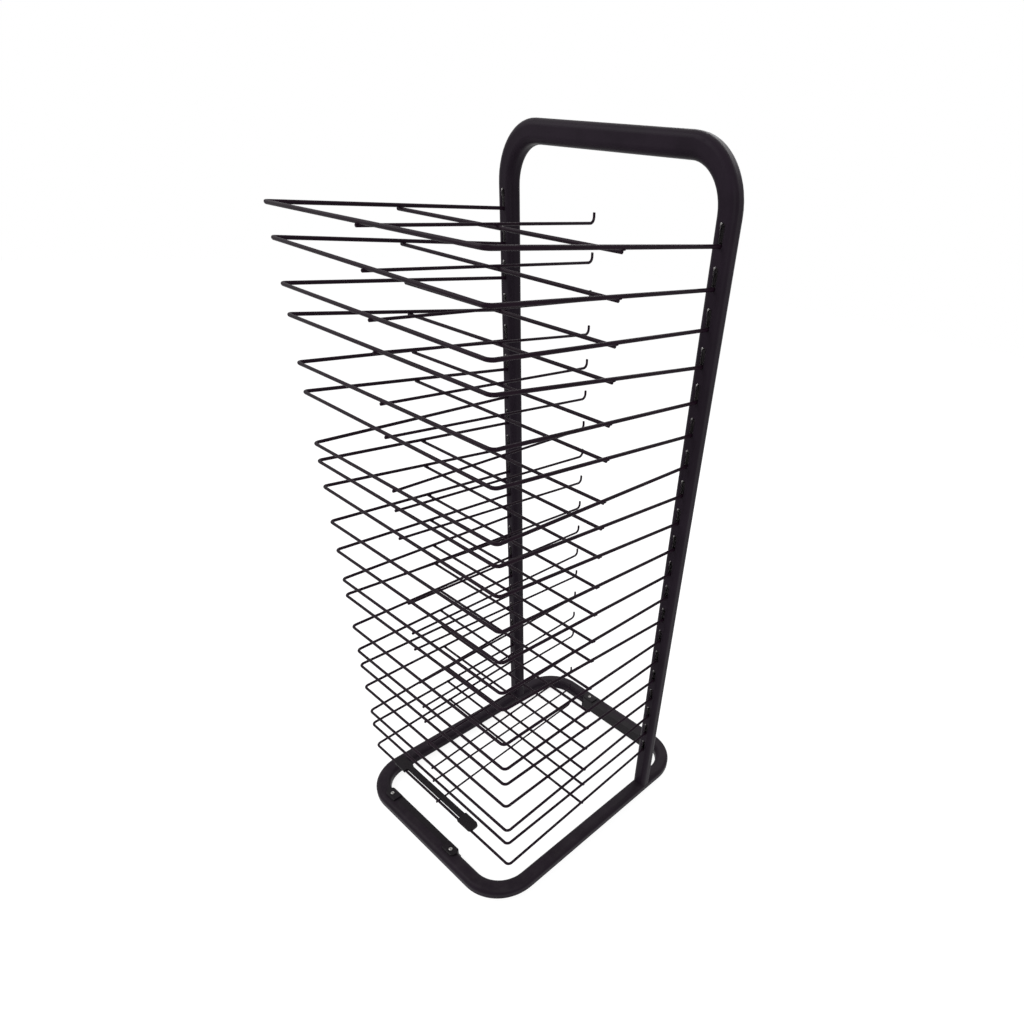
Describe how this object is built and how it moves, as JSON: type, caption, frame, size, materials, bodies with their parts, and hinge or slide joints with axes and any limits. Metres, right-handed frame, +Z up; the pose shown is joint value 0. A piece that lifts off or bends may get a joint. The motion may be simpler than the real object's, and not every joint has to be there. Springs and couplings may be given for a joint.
{
  "type": "art drying rack",
  "caption": "Free-standing drying rack: wire shelves hook into slots in a bent tube hoop on a flat tube ring and tip up for loading.",
  "frame": {"origin": "middle of the footprint on the floor, at the underside of the glides", "axes": "+X to the right seen from the front, +Y to the rear where the uprights stand, +Z up"},
  "size_m": [0.36, 0.456, 0.932],
  "materials": {
    "tube_coat": "black powder coat, satin, fine orange peel",
    "wire_coat": "black powder coat on drawn wire, satin",
    "moulding": "moulded black plastic, matte",
    "zinc_steel": "zinc plated, dull",
    "bright_steel": "bright nickel"
  },
  "bodies": {
    "rack": {"upright_hoop": "tube_coat", "base_ring": "tube_coat", "hoop_plugs": "moulding", "hoop_bolts": "zinc_steel", "hoop_washers": "zinc_steel", "floor_glides": "moulding", "glide_screws": "bright_steel"},
    "shelf_01": {"shelf_01": "wire_coat"},
    "shelf_02": {"shelf_02": "wire_coat"},
    "shelf_03": {"shelf_03": "wire_coat"},
    "shelf_04": {"shelf_04": "wire_coat"},
    "shelf_05": {"shelf_05": "wire_coat"},
    "shelf_06": {"shelf_06": "wire_coat"},
    "shelf_07": {"shelf_07": "wire_coat"},
    "shelf_08": {"shelf_08": "wire_coat"},
    "shelf_09": {"shelf_09": "wire_coat"},
    "shelf_10": {"shelf_10": "wire_coat"},
    "shelf_11": {"shelf_11": "wire_coat"},
    "shelf_12": {"shelf_12": "wire_coat"},
    "shelf_13": {"shelf_13": "wire_coat"},
    "shelf_14": {"shelf_14": "wire_coat"},
    "shelf_15": {"shelf_15": "wire_coat"},
    "shelf_16": {"shelf_16": "wire_coat"},
    "shelf_17": {"shelf_17": "wire_coat"},
    "shelf_18": {"shelf_18": "wire_coat"},
    "shelf_19": {"shelf_19": "wire_coat"},
    "shelf_20": {"shelf_20": "wire_coat", "shelf_grip": "moulding"}
  },
  "joints": [
    {"name": "shelf_01_tip", "type": "hinge", "parent": "rack", "child": "shelf_01", "pos_m": [0, 0.11, 0.841], "axis": [-1, 0, 0], "range_deg": [0, 46]},
    {"name": "shelf_02_tip", "type": "hinge", "parent": "rack", "child": "shelf_02", "pos_m": [0, 0.11, 0.8025], "axis": [-1, 0, 0], "range_deg": [0, 46]},
    {"name": "shelf_03_tip", "type": "hinge", "parent": "rack", "child": "shelf_03", "pos_m": [0, 0.11, 0.764], "axis": [-1, 0, 0], "range_deg": [0, 46]},
    {"name": "shelf_04_tip", "type": "hinge", "parent": "rack", "child": "shelf_04", "pos_m": [0, 0.11, 0.7255], "axis": [-1, 0, 0], "range_deg": [0, 46]},
    {"name": "shelf_05_tip", "type": "hinge", "parent": "rack", "child": "shelf_05", "pos_m": [0, 0.11, 0.687], "axis": [-1, 0, 0], "range_deg": [0, 46]},
    {"name": "shelf_06_tip", "type": "hinge", "parent": "rack", "child": "shelf_06", "pos_m": [0, 0.11, 0.6485], "axis": [-1, 0, 0], "range_deg": [0, 46]},
    {"name": "shelf_07_tip", "type": "hinge", "parent": "rack", "child": "shelf_07", "pos_m": [0, 0.11, 0.61], "axis": [-1, 0, 0], "range_deg": [0, 46]},
    {"name": "shelf_08_tip", "type": "hinge", "parent": "rack", "child": "shelf_08", "pos_m": [0, 0.11, 0.5715], "axis": [-1, 0, 0], "range_deg": [0, 46]},
    {"name": "shelf_09_tip", "type": "hinge", "parent": "rack", "child": "shelf_09", "pos_m": [0, 0.11, 0.533], "axis": [-1, 0, 0], "range_deg": [0, 46]},
    {"name": "shelf_10_tip", "type": "hinge", "parent": "rack", "child": "shelf_10", "pos_m": [0, 0.11, 0.4945], "axis": [-1, 0, 0], "range_deg": [0, 46]},
    {"name": "shelf_11_tip", "type": "hinge", "parent": "rack", "child": "shelf_11", "pos_m": [0, 0.11, 0.456], "axis": [-1, 0, 0], "range_deg": [0, 46]},
    {"name": "shelf_12_tip", "type": "hinge", "parent": "rack", "child": "shelf_12", "pos_m": [0, 0.11, 0.4175], "axis": [-1, 0, 0], "range_deg": [0, 46]},
    {"name": "shelf_13_tip", "type": "hinge", "parent": "rack", "child": "shelf_13", "pos_m": [0, 0.11, 0.379], "axis": [-1, 0, 0], "range_deg": [0, 46]},
    {"name": "shelf_14_tip", "type": "hinge", "parent": "rack", "child": "shelf_14", "pos_m": [0, 0.11, 0.3405], "axis": [-1, 0, 0], "range_deg": [0, 46]},
    {"name": "shelf_15_tip", "type": "hinge", "parent": "rack", "child": "shelf_15", "pos_m": [0, 0.11, 0.302], "axis": [-1, 0, 0], "range_deg": [0, 46]},
    {"name": "shelf_16_tip", "type": "hinge", "parent": "rack", "child": "shelf_16", "pos_m": [0, 0.11, 0.2635], "axis": [-1, 0, 0], "range_deg": [0, 46]},
    {"name": "shelf_17_tip", "type": "hinge", "parent": "rack", "child": "shelf_17", "pos_m": [0, 0.11, 0.225], "axis": [-1, 0, 0], "range_deg": [0, 46]},
    {"name": "shelf_18_tip", "type": "hinge", "parent": "rack", "child": "shelf_18", "pos_m": [0, 0.11, 0.1865], "axis": [-1, 0, 0], "range_deg": [0, 46]},
    {"name": "shelf_19_tip", "type": "hinge", "parent": "rack", "child": "shelf_19", "pos_m": [0, 0.11, 0.148], "axis": [-1, 0, 0], "range_deg": [0, 46]},
    {"name": "shelf_20_tip", "type": "hinge", "parent": "rack", "child": "shelf_20", "pos_m": [0, 0.11, 0.1095], "axis": [-1, 0, 0], "range_deg": [0, 46]}
  ],
  "couplings": [
    {"joint": "shelf_01_tip", "follows": "shelf_20_tip", "ratio": 1},
    {"joint": "shelf_02_tip", "follows": "shelf_20_tip", "ratio": 1},
    {"joint": "shelf_03_tip", "follows": "shelf_20_tip", "ratio": 1},
    {"joint": "shelf_04_tip", "follows": "shelf_20_tip", "ratio": 1},
    {"joint": "shelf_05_tip", "follows": "shelf_20_tip", "ratio": 1},
    {"joint": "shelf_06_tip", "follows": "shelf_20_tip", "ratio": 1},
    {"joint": "shelf_07_tip", "follows": "shelf_20_tip", "ratio": 1},
    {"joint": "shelf_08_tip", "follows": "shelf_20_tip", "ratio": 1},
    {"joint": "shelf_09_tip", "follows": "shelf_20_tip", "ratio": 1},
    {"joint": "shelf_10_tip", "follows": "shelf_20_tip", "ratio": 1},
    {"joint": "shelf_11_tip", "follows": "shelf_20_tip", "ratio": 1},
    {"joint": "shelf_12_tip", "follows": "shelf_20_tip", "ratio": 1},
    {"joint": "shelf_13_tip", "follows": "shelf_20_tip", "ratio": 1},
    {"joint": "shelf_14_tip", "follows": "shelf_20_tip", "ratio": 1},
    {"joint": "shelf_15_tip", "follows": "shelf_20_tip", "ratio": 1},
    {"joint": "shelf_16_tip", "follows": "shelf_20_tip", "ratio": 1},
    {"joint": "shelf_17_tip", "follows": "shelf_20_tip", "ratio": 1},
    {"joint": "shelf_18_tip", "follows": "shelf_20_tip", "ratio": 1},
    {"joint": "shelf_19_tip", "follows": "shelf_20_tip", "ratio": 1}
  ]
}
